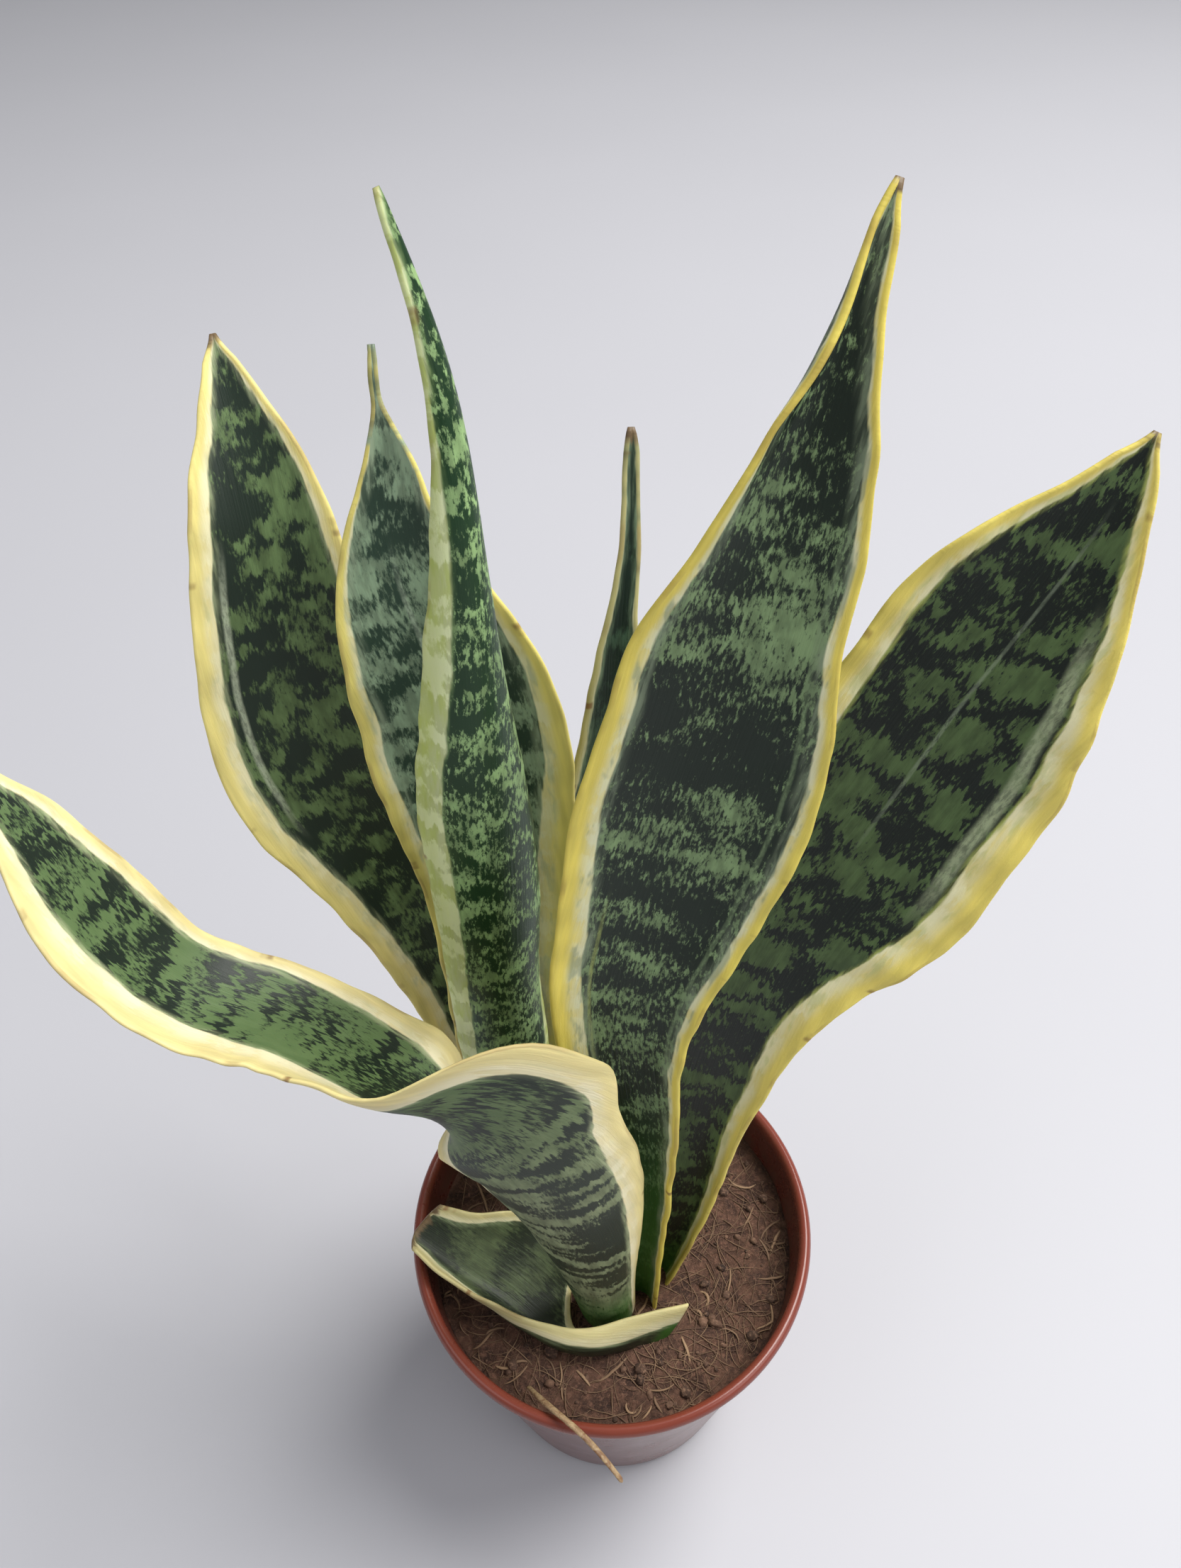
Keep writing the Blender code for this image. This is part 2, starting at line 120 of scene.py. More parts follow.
# Every leaf: where its base stands on the pot's floor plan, the way its inner face looks at the base
# (an angle from +X, seen from above) and the midrib as points measured from that base. Then, at equal
# steps from base to tip: the half widths to the left and right of the midrib, how far each half curls
# inwards, and how far the blade is twisted about the midrib. Millimetres and degrees.
LEAVES = {
    "leaf_left_back": {
        "base": (-34, 31), "face": -75,
        "midrib": [(0, 0, 0), (1, 3, 35), (-1, 6, 70), (-8, 10, 110), (-24, 19, 150), (-35, 27, 182),
                   (-37, 39, 220), (-44, 63, 256)],
        "left": [9, 11, 14, 17, 20, 25, 20, 14, 1], "right": [8, 9, 11, 16, 22, 23, 20, 14, 1],
        "curl_left": [60, 50, 40, 30, 25, 25, 25, 25, 30],
        "curl_right": [60, 50, 40, 30, 25, 25, 25, 25, 30], "twist": [0, 0],
    },
    "leaf_mid_back": {
        "base": (-26, 26), "face": -85,
        "midrib": [(0, 0, 0), (-1, 2, 40), (-1, 7, 94), (0, 11, 124), (-2, 18, 171), (-8, 24, 203),
                   (-13.8, 31, 228), (-14.2, 37, 244), (-14.2, 44, 263)],
        "left": [9, 9.5, 10, 11, 12, 13, 14, 14.5, 15, 15.5, 16, 17, 18, 19.5, 21, 22.3, 23, 22.5, 21,
                 18.3, 14.8, 8.6, 4, 0.6, 0.6],
        "right": [9, 9.5, 10, 11, 12, 13.5, 15, 16, 17, 17.5, 18, 19, 20, 21, 22, 23, 24, 23.4, 21.6,
                  17.7, 14, 9.8, 6, 0.6, 0.6],
        "curl_left": [40, 35, 30, 25, 25, 25, 25, 25, 30],
        "curl_right": [40, 35, 30, 25, 25, 25, 25, 25, 30], "twist": [0, 0],
    },
    "leaf_rolled": {
        "base": (-28, 14), "face": 100,
        "midrib": [(0, 0, 0), (2, 1, 34), (2, 1, 92), (5, 2, 142), (8, 4, 200), (9, 9, 251),
                   (7, 14, 275), (-1, 20, 303)],
        "left": [9, 12, 15, 17, 18, 16, 10, 4, 1], "right": [9, 11, 13, 15, 17, 18, 12, 6, 1],
        "curl_left": [45, 50, 60, 75, 80, 90, 100, 90, 60],
        "curl_right": [45, 50, 60, 70, 70, 80, 90, 90, 60],
        "twist": [0, 0, 5, 10, 15, 25, 45, 70, 80],
    },
    "leaf_small_back": {
        "base": (-15, 38), "face": -80,
        "midrib": [(0, 0, 0), (1, 1, 40), (4, 3, 81), (11, 7, 121), (21, 14, 172), (23, 18, 199),
                   (25, 24, 218), (26, 34, 242)],
        "left": [8, 9, 10, 11, 12, 11, 8, 2.5, 1], "right": [8, 9, 10, 11, 11, 7, 4, 2, 1],
        "curl_left": [60, 50, 40, 30, 25, 25, 25, 25, 30],
        "curl_right": [60, 50, 40, 30, 25, 25, 25, 25, 30], "twist": [0, 0],
    },
    "leaf_tall_centre": {
        "base": (6, -17), "face": -95,
        "midrib": [(0, 0, 0), (2, 6, 53), (0, 11, 102), (-1, 16, 136), (5, 21, 163), (13, 26, 191),
                   (21, 30, 219), (31, 38, 261), (44, 52, 301)],
        "left": [9, 10, 11, 12, 13, 14, 15, 17, 20, 22, 24, 23, 22, 15, 11, 5, 1],
        "right": [9, 9, 9, 10, 11, 13, 14, 17, 20, 23, 24, 22, 17, 15, 11, 5, 1],
        "curl_left": [70, 65, 60, 55, 50, 45, 40, 37, 35, 32, 30, 30, 32, 45, 85, 130, 60],
        "curl_right": [90, 80, 60, 45, 30, 20, 20, 30, 30], "twist": [0, 0],
    },
    "leaf_wide_right": {
        "base": (11, -9), "face": -105,
        "midrib": [(0, 0, 0), (9, 2, 34), (14, 6, 77), (21, 11, 120), (34, 18, 155), (48, 24, 178),
                   (62, 30, 203), (85, 40, 240), (93, 45, 256)],
        "left": [10, 11, 13, 17, 22, 26, 25, 22, 1],
        "right": [8, 8, 8, 9, 10, 11, 13, 15, 20, 27, 31, 30, 30, 25, 18, 9, 1],
        "curl_left": [70, 60, 45, 30, 20, 15, 15, 15, 30],
        "curl_right": [110, 95, 70, 40, 20, 15, 15, 20, 30], "twist": [0, 0],
    },
    "leaf_bent_front": {
        "base": (-2, -27), "face": 85,
        "midrib": [(0, 0, 0), (-3, 1, 35), (-8, 2, 69), (-18, 4, 98), (-30, 7, 113), (-43, 13, 118),
                   (-59, 23, 120), (-77, 33, 123), (-97, 38, 132), (-122, 49, 172), (-134, 57, 194)],
        "left": [11, 12, 13, 15, 17, 19, 21, 23, 25, 28, 37, 38, 27, 22, 21, 21, 21, 20, 19, 18, 18, 15,
                 11, 6, 1],
        "right": [11, 14, 18, 22, 25, 25, 23, 21, 17, 15, 14, 10, 1],
        "curl_left": [90, 80, 60, 40, 40, 30, 20, 15, 15],
        "curl_right": [90, 75, 55, 40, 35, 30, 25, 15, 15],
        "twist": [0, 0, 0, 0, 0, 0, 0, 0, 0, 0, -5, -25, -60, -74, -80, -84, -88, -92, -95, -98, -100,
                  -100, -100, -100, -100],
    },
    "leaf_low_front": {
        "base": (10, -31), "face": 95,
        "midrib": [(0, 0, 0), (-9, -1, 5), (-19, -2, 9), (-30, 3, 11), (-40, 11, 14), (-50, 17, 18),
                   (-60, 22, 24), (-68, 26, 29)],
        "left": [23, 18, 15, 13, 13, 12, 10, 8, 5],
        "right": [3, 3, 3, 3, 5, 13, 23, 25, 23, 19, 14, 11, 9],
        "curl_left": [20, 60, 110, 130, 120, 110, 95, 80, 60], "curl_right": [60, 50, 40, 30, 20, 20, 20],
        "twist": [0, -30, -70, -95, -105, -110, -110],
    },
}

# How each leaf is coloured, in millimetres and six-digit colours. What a leaf doesn't give is plain.
#   seed                  chooses the pattern
#   dark, light           the two greens of the mottling
#   yellow, pale, veil    the margin's outer and inner colours, and the grey-green where it overlaps
#   period, run           a band's length along the leaf, and the bands per millimetre across it
#   jag, jag_high         how far the bands' edges are torn, low down and high up
#   speckle, cover, soft  how grainy the mottling is, how much of it is light, how soft its edges are
#   net                   above 0, the dark is a net about this strong between light patches
#   haze, tint            how wide the overlap is, and how much it stains the margin
#   even, deep            how evenly the margin is pale, and how far the upper part is deeper green
#   margin_left, margin_right   the margins' widths at equal steps from base to tip
#   zones                 (distance from the base, reach, strength) of mottling that is lighter, or
#                         darker where the strength is below 0
#   stripes               (place, half width, from, to, strength, colour), where the place is -1 at
#                         the left margin, 0 at the midrib and 1 at the right one, from the inner face
#   dry_tip, base_green   the lengths of the dry tip and of the bright young base
PLAIN_LOOK = {"net": 0, "even": 0.0, "deep": 0.0, "zones": [], "stripes": [], "dry_tip": 0}
LOOKS = {
    "leaf_left_back": {
        "seed": 11, "dark": "202d23", "light": "5f754a",
        "yellow": "f0e08c", "pale": "f2ecc2", "veil": "a3ad86",
        "period": 6.0, "run": 0.12, "jag": 8.0, "jag_high": 8.0,
        "speckle": 0.55, "cover": 0.42, "soft": 0.06, "haze": 1.6, "tint": 0.3,
        "margin_left": [2, 3, 5, 6, 6, 6, 5, 4, 1],
        "margin_right": [2, 3, 4, 5, 5, 5, 4, 2.5, 0.6],
        "zones": [(130, 25, 0.05)],
        "stripes": [(-0.62, 0.8, 165, 225, 0.8, "b9c3a8")],
        "dry_tip": 1.5, "base_green": 40,
    },
    "leaf_mid_back": {
        "seed": 23, "dark": "2c3f33", "light": "83997d",
        "yellow": "e6d87a", "pale": "e9e7c2", "veil": "9fb093",
        "period": 6.5, "run": 0.08, "jag": 7.0, "jag_high": 7.0,
        "speckle": 0.65, "cover": 0.44, "soft": 0.08, "haze": 3.0, "tint": 0.4,
        "margin_left": [2, 3, 3, 4, 4, 4, 4, 4, 4, 3.5, 2, 0.2, 0],
        "margin_right": [2, 3, 5, 7, 9, 10, 10, 8, 6, 4, 2, 0.2, 0],
        "zones": [(215, 14, 0.05)],
        "stripes": [(-0.1, 0.6, 180, 225, 0.5, "b4c4ac"), (0.35, 0.8, 60, 190, 0.6, "a8b88f")],
        "base_green": 40,
    },
    "leaf_rolled": {
        "seed": 37, "dark": "16361a", "light": "8cab72",
        "yellow": "b4c542", "pale": "ecf4c2", "veil": "6f8a56",
        "period": 6.0, "run": 0.12, "jag": 8.0, "jag_high": 8.0,
        "speckle": 1.25, "cover": 0.40, "soft": 0.08, "haze": 0.8, "tint": 0.0, "even": 0.6,
        "margin_left": [2, 2, 3, 3, 3, 3, 3, 1.5, 0.3],
        "margin_right": [3, 4.5, 5.8, 6.6, 7, 6.6, 5, 1.0, 0.2],
        "zones": [(95, 25, 0.04)],
        "base_green": 80,
    },
    "leaf_small_back": {
        "seed": 41, "dark": "1c2b22", "light": "3c5440",
        "yellow": "c9c286", "pale": "d6d3a8", "veil": "7f9576",
        "period": 9.0, "run": 0.06, "jag": 5.0, "jag_high": 5.0,
        "speckle": 0.45, "cover": 0.38, "soft": 0.07, "haze": 1.5, "tint": 0.3,
        "margin_left": [1, 1.5, 1.5, 1.5, 1.5, 1.5, 1, 0.4, 0.2],
        "margin_right": [1, 1.2, 1.2, 1.2, 1.2, 1, 0.6, 0.3, 0.2],
        "zones": [(176, 6, 0.25)],
        "dry_tip": 2.5, "base_green": 30,
    },
    "leaf_tall_centre": {
        "seed": 53, "dark": "19251b", "light": "7a9266",
        "yellow": "ead764", "pale": "e4e5c0", "veil": "8b9a7d",
        "period": 6.5, "run": 0.07, "jag": 8.0, "jag_high": 8.0,
        "speckle": 1.35, "cover": 0.30, "soft": 0.10, "haze": 3.0, "tint": 0.6,
        "margin_left": [3, 3.8, 4.5, 5.2, 6, 6.8, 7, 6, 5, 4, 2.5, 1.1, 0.9],
        "margin_right": [1.5, 1.5, 2, 2.5, 3, 3, 2.5, 1.5, 0.5],
        "zones": [(238, 10, 0.19), (208, 14, -0.06), (185, 8, 0.05), (110, 40, 0.03), (285, 25, -0.03)],
        "stripes": [(-0.50, 0.45, 70, 165, 0.8, "98a35e"), (0.72, 0.5, 120, 260, 0.6, "7d936b")],
        "dry_tip": 1, "base_green": 115,
    },
    "leaf_wide_right": {
        "seed": 61, "dark": "131b15", "light": "4a5e37",
        "yellow": "eedb70", "pale": "eeeac0", "veil": "b3bd66",
        "period": 9.0, "run": 0.05, "jag": 11.0, "jag_high": 11.0,
        "speckle": 0.35, "cover": 0.50, "soft": 0.022, "net": 0.062, "haze": 1.2, "tint": 0.35,
        "margin_left": [2, 3, 4, 5, 7, 7, 6, 4, 1],
        "margin_right": [2, 3, 4, 5, 8, 8, 7, 4, 1],
        "stripes": [(0.02, 0.4, 185, 262, 0.4, "97a58a"), (0.66, 1.5, 178, 245, 0.85, "a7b38d"),
                    (0.80, 0.5, 165, 250, 0.8, "2b4020")],
        "dry_tip": 1.5, "base_green": 30,
    },
    "leaf_bent_front": {
        "seed": 71, "dark": "2b3428", "light": "7f8966",
        "yellow": "ecdc9a", "pale": "f0e8c4", "veil": "b5be93",
        "period": 4.2, "run": 0.04, "jag": 4.5, "jag_high": 18.0,
        "speckle": 0.5, "cover": 0.50, "soft": 0.05, "haze": 2.0, "tint": 0.15, "deep": 0.85,
        "margin_left": [3, 4, 5.5, 7, 7.5, 8, 9, 9.5, 10, 10, 9, 7, 3],
        "margin_right": [2, 3, 4, 5, 6, 7, 7, 5, 3, 3, 3, 3, 1],
        "dry_tip": 1, "base_green": 35,
    },
    "leaf_low_front": {
        "seed": 83, "dark": "1f2719", "light": "4a5638",
        "yellow": "cfc48c", "pale": "ddd7b0", "veil": "93a079",
        "period": 14.0, "run": 0.04, "jag": 16.0, "jag_high": 16.0,
        "speckle": 0.45, "cover": 0.40, "soft": 0.09, "haze": 2.0, "tint": 0.2,
        "margin_left": [6, 6, 4, 3, 3, 3, 3],
        "margin_right": [6, 6, 4, 3, 3, 3, 3, 3, 3],
        "dry_tip": 1.5, "base_green": 6,
    },
}


# ---- curves ----
def smooth_line(points, count):
    """A natural cubic through the points, read at count equal steps, and its length."""
    knots = np.array(points, float)
    steps = np.linalg.norm(np.diff(knots, axis=0), axis=1)
    at = np.concatenate([[0.0], np.cumsum(steps)])
    size = len(knots)
    matrix = np.eye(size)
    right = np.zeros((size, 3))
    for i in range(1, size - 1):
        matrix[i, i - 1:i + 2] = steps[i - 1], 2 * (steps[i - 1] + steps[i]), steps[i]
        right[i] = 6 * ((knots[i + 1] - knots[i]) / steps[i] - (knots[i] - knots[i - 1]) / steps[i - 1])
    bend = np.linalg.solve(matrix, right)
    dense = []
    for x in np.linspace(0, at[-1], 600):
        i = int(min(max(np.searchsorted(at, x) - 1, 0), size - 2))
        ahead = at[i + 1] - x
        behind = x - at[i]
        step = steps[i]
        dense.append((bend[i] * ahead ** 3 + bend[i + 1] * behind ** 3) / (6 * step)
                     + (knots[i] / step - bend[i] * step / 6) * ahead
                     + (knots[i + 1] / step - bend[i + 1] * step / 6) * behind)
    dense = np.array(dense)
    run = np.concatenate([[0.0], np.cumsum(np.linalg.norm(np.diff(dense, axis=0), axis=1))])
    even = np.linspace(0, run[-1], count)
    return np.stack([np.interp(even, run, dense[:, k]) for k in range(3)], 1), run[-1]


def smooth_values(values, at):
    """Values given at equal steps, read anywhere between 0 and 1 without kinks."""
    listed = np.array(values, float)
    slope = np.gradient(listed)
    x = np.clip(np.asarray(at, float), 0, 1) * (len(listed) - 1)
    i = np.clip(np.floor(x).astype(int), 0, len(listed) - 2)
    u = x - i
    start = (2 * u ** 3 - 3 * u ** 2 + 1) * listed[i] + (u ** 3 - 2 * u ** 2 + u) * slope[i]
    end = (3 * u ** 2 - 2 * u ** 3) * listed[i + 1] + (u ** 3 - u ** 2) * slope[i + 1]
    return start + end


def carried_frames(path, face, twist):
    """Along the path: the way the inner face looks and the way to the right margin."""
    along = np.gradient(path, axis=0)
    along /= np.linalg.norm(along, axis=1)[:, None]
    inward = np.array([cos(radians(face)), sin(radians(face)), 0.0])
    frames = []
    for direction, turn in zip(along, np.radians(twist)):
        inward = inward - inward.dot(direction) * direction
        inward /= np.linalg.norm(inward)
        across = np.cross(direction, inward)
        frames.append((inward * cos(turn) + across * sin(turn), across * cos(turn) - inward * sin(turn)))
    return frames


def ripple(x, seed):
    """Smooth wandering between about -1 and 1."""
    return noise.noise(Vector((x, seed * 1.37, seed * 0.71))) * 1.6


# ---- meshes ----
def add_object(name, corners, faces, values=None, smooth=True):
    """Makes an object from millimetres, with named numbers stored at its corners."""
    mesh = bpy.data.meshes.new(name)
    mesh.from_pydata((np.array(corners, float) * MM).tolist(), [], faces)
    for label, numbers in (values or {}).items():
        stored = mesh.attributes.new(label, "FLOAT", "POINT")
        stored.data.foreach_set("value", np.array(numbers, dtype=np.float32))
    mesh.polygons.foreach_set("use_smooth", [smooth] * len(mesh.polygons))
    mesh.update()
    made = bpy.data.objects.new(name, mesh)
    bpy.context.scene.collection.objects.link(made)
    return made


def face_outwards(made):
    shape = bmesh.new()
    shape.from_mesh(made.data)
    bmesh.ops.recalc_face_normals(shape, faces=shape.faces[:])
    shape.to_mesh(made.data)
    shape.free()


def leaf_path(shape):
    """The midrib in the pot, one point for each row of the leaf, and its length."""
    base = np.array([shape["base"][0], shape["base"][1], CROWN])
    return smooth_line([base + np.array(p, float) for p in shape["midrib"]], LEAF_ROWS)


def leaf_mesh(name, shape, look, path, length):
    """A closed leaf with round margins that carries its own coordinates for the pattern."""
    at = np.linspace(0, 1, LEAF_ROWS)
    frames = carried_frames(path, shape["face"], smooth_values(shape["twist"], at))
    widths = [smooth_values(shape[side], at) for side in ("left", "right")]
    curls = [np.radians(smooth_values(shape[side], at)) for side in ("curl_left", "curl_right")]
    bands = [smooth_values(look[side], at) for side in ("margin_left", "margin_right")]
    seed = look["seed"]
    corners = []
    values = {label: [] for label in ("along", "across", "share", "reach", "rim", "inset")}

    def keep(point, row, share, reach, band):
        """Stores a corner and where it is: along, across, in from the rim and from the margin."""
        corners.append(point)
        rim = (1 - abs(share)) * reach
        numbers = (at[row] * length, share * reach, share, reach, rim, rim - band)
        for label, number in zip(values, numbers):
            values[label].append(number)

    columns = [c / HALF_COLUMNS for c in range(-HALF_COLUMNS, HALF_COLUMNS + 1)]
    for row in range(LEAF_ROWS):
        inward, across = frames[row]
        far = at[row] * length
        middle = LEAF_THICKNESS + (MARGIN_THICKNESS - LEAF_THICKNESS) * at[row] ** 2
        points = {}
        for share in columns:
            side = 1 if share > 0 else 0
            sign = 1.0 if share > 0 else -1.0
            uneven = EDGE_WANDER * ripple(far * 0.12, seed + side) * min(1, far / 40)
            reach = max(widths[side][row], 0.5) + uneven
            reach = max(reach * min(1.0, ((1 - at[row]) / TIP_SHARE) ** 0.5), LEAST_REACH)
            turn = max(curls[side][row], 0.02)
            part = abs(share)
            sideways = reach * sin(turn * part) / turn
            wave = ripple(far * 0.045, seed + 3 + side) + 0.35 * ripple(far * 0.13, seed + 5 + side)
            raised = reach * (1 - cos(turn * part)) / turn + EDGE_WAVE * reach * wave * part ** 2.5
            centre = path[row] + sign * sideways * across + raised * inward
            normal = inward * cos(turn * part) - sign * across * sin(turn * part)
            outward = sign * (across * cos(turn * part) + sign * inward * sin(turn * part))
            half = (middle + (MARGIN_THICKNESS - middle) * part ** 1.5) / 2
            half = min(half, 0.35 + reach * 0.5)
            points[share] = (centre, normal, outward, half, reach, min(bands[side][row], reach * 0.45))
        for share in columns:
            centre, normal, outward, half, reach, band = points[share]
            keep(centre + half * normal, row, share, reach, band)
        for turn in ROUND_EDGE:
            centre, normal, outward, half, reach, band = points[1.0]
            edge = cos(radians(turn)) * normal + sin(radians(turn)) * outward
            keep(centre + half * edge, row, 1.0, reach, band)
        for share in reversed(columns):
            centre, normal, outward, half, reach, band = points[share]
            keep(centre - half * normal, row, share, reach, band)
        for turn in reversed(ROUND_EDGE):
            centre, normal, outward, half, reach, band = points[-1.0]
            edge = cos(radians(turn)) * normal + sin(radians(turn)) * outward
            keep(centre + half * edge, row, -1.0, reach, band)
    loop = 2 * (len(columns) + len(ROUND_EDGE))
    faces = []
    for row in range(LEAF_ROWS - 1):
        for i in range(loop):
            j = (i + 1) % loop
            faces.append((row * loop + i, row * loop + j, (row + 1) * loop + j, (row + 1) * loop + i))
    for row in (0, LEAF_ROWS - 1):
        start = row * loop
        last = len(columns) - 1
        back = start + len(columns) + len(ROUND_EDGE)
        for i in range(last):
            faces.append((start + i, start + i + 1, back + last - i - 1, back + last - i))
        faces.append(tuple(start + last + k for k in range(len(ROUND_EDGE) + 2)))
        faces.append(tuple(back + last + k for k in range(len(ROUND_EDGE) + 1)) + (start,))
    made = add_object(name, corners, faces, values)
    face_outwards(made)
    return made


def lathe(name, profile, sides, smooth=True):
    """Turns (radius, height) points, first and last on the axis, into one closed body."""
    corners = [(0.0, 0.0, profile[0][1])]
    for radius, height in profile[1:-1]:
        for i in range(sides):
            turn = 2 * pi * i / sides
            corners.append((radius * cos(turn), radius * sin(turn), height))
    corners.append((0.0, 0.0, profile[-1][1]))
    faces = []
    rings = len(profile) - 2
    top = 1 + (rings - 1) * sides
    for i in range(sides):
        j = (i + 1) % sides
        faces.append((0, 1 + j, 1 + i))
        faces.append((len(corners) - 1, top + i, top + j))
        for ring in range(rings - 1):
            low = 1 + ring * sides
            faces.append((low + i, low + j, low + sides + j, low + sides + i))
    return add_object(name, corners, faces, smooth=smooth)


def strands(name, paths):
    """Many thin closed strands in one mesh: each is (points, radii, flatness, shade)."""
    corners, faces, shades = [], [], []
    for points, radii, flat, shade in paths:
        line = np.array(points, float)
        along = np.gradient(line, axis=0)
        along /= np.linalg.norm(along, axis=1)[:, None]
        side = np.cross(along[0], (0.11, 0.23, 0.97))
        start = len(corners)
        for centre, direction, radius in zip(line, along, radii):
            side = side - side.dot(direction) * direction
            side /= np.linalg.norm(side)
            other = np.cross(direction, side)
            for k in range(STRAND_SIDES):
                turn = 2 * pi * k / STRAND_SIDES
                corners.append(centre + radius * (cos(turn) * side + flat * sin(turn) * other))
                shades.append(shade)
        for ring in range(len(line) - 1):
            for k in range(STRAND_SIDES):
                here = start + ring * STRAND_SIDES + k
                beside = start + ring * STRAND_SIDES + (k + 1) % STRAND_SIDES
                faces.append((here, beside, beside + STRAND_SIDES, here + STRAND_SIDES))
        faces.append(tuple(start + k for k in reversed(range(STRAND_SIDES))))
        faces.append(tuple(start + (len(line) - 1) * STRAND_SIDES + k for k in range(STRAND_SIDES)))
    return add_object(name, corners, faces, {"shade": shades})


# ---- node materials ----
def colour(code):
    """A linear colour from the six-digit code that a colour chart gives."""
    parts = [int(code[i:i + 2], 16) / 255 for i in (0, 2, 4)]
    return tuple(p / 12.92 if p <= 0.04045 else ((p + 0.055) / 1.055) ** 2.4 for p in parts) + (1.0,)


def tone(code, gain):
    """The same colour, lighter or darker by a factor."""
    red, green, blue, alpha = colour(code)
    return (min(red * gain, 1.0), min(green * gain, 1.0), min(blue * gain, 1.0), alpha)


class Finish:
    """A material with short calls for the nodes that it needs."""

    def __init__(self, name, rough):
        self.material = bpy.data.materials.new(name)
        self.material.use_nodes = True
        self.tree = self.material.node_tree
        self.tree.nodes.clear()
        self.shader = self.tree.nodes.new("ShaderNodeBsdfPrincipled")
        self.shader.inputs["Roughness"].default_value = rough
        output = self.tree.nodes.new("ShaderNodeOutputMaterial")
        self.tree.links.new(self.shader.outputs[0], output.inputs["Surface"])

    def put(self, value, socket):
        """Links a node's output, or sets a plain value."""
        if isinstance(value, bpy.types.NodeSocket):
            self.tree.links.new(value, socket)
        else:
            socket.default_value = value

    def math(self, operation, *values, clamp=False):
        node = self.tree.nodes.new("ShaderNodeMath")
        node.operation = operation
        node.use_clamp = clamp
        for value, socket in zip(values, node.inputs):
            self.put(value, socket)
        return node.outputs[0]

    def plus(self, first, second):
        return self.math("ADD", first, second)

    def minus(self, first, second):
        return self.math("SUBTRACT", first, second)

    def times(self, first, second):
        return self.math("MULTIPLY", first, second)

    def over(self, first, second):
        return self.math("DIVIDE", first, second)

    def times_plus(self, first, second, third):
        return self.math("MULTIPLY_ADD", first, second, third)

    def stored(self, label):
        node = self.tree.nodes.new("ShaderNodeAttribute")
        node.attribute_name = label
        return node.outputs["Fac"]

    def place(self):
        return self.tree.nodes.new("ShaderNodeTexCoord").outputs["Object"]

    def vector(self, x, y, z):
        node = self.tree.nodes.new("ShaderNodeCombineXYZ")
        for value, socket in zip((x, y, z), node.inputs):
            self.put(value, socket)
        return node.outputs[0]

    def noise(self, vector, scale=1.0, detail=2.0, rough=0.5, distortion=0.0):
        node = self.tree.nodes.new("ShaderNodeTexNoise")
        self.put(vector, node.inputs["Vector"])
        node.inputs["Scale"].default_value = scale
        node.inputs["Detail"].default_value = detail
        node.inputs["Roughness"].default_value = rough
        node.inputs["Distortion"].default_value = distortion
        return node.outputs[0]

    def step(self, value, low, high, start=0.0, end=1.0):
        """Goes smoothly from start to end while the value goes from low to high."""
        node = self.tree.nodes.new("ShaderNodeMapRange")
        node.interpolation_type = "SMOOTHSTEP"
        for number, socket in zip((value, low, high, start, end), node.inputs):
            self.put(number, socket)
        return node.outputs[0]

    def mix(self, factor, first, second):
        node = self.tree.nodes.new("ShaderNodeMix")
        node.data_type = "RGBA"
        self.put(factor, node.inputs[0])
        self.put(first, node.inputs[6])
        self.put(second, node.inputs[7])
        return node.outputs[2]

    def colour(self, value):
        self.put(value, self.shader.inputs["Base Color"])

    def rough(self, value):
        self.put(value, self.shader.inputs["Roughness"])

    def bump(self, height, distance, strength=1.0):
        node = self.tree.nodes.new("ShaderNodeBump")
        node.inputs["Distance"].default_value = distance
        node.inputs["Strength"].default_value = strength
        self.put(height, node.inputs["Height"])
        self.put(node.outputs[0], self.shader.inputs["Normal"])


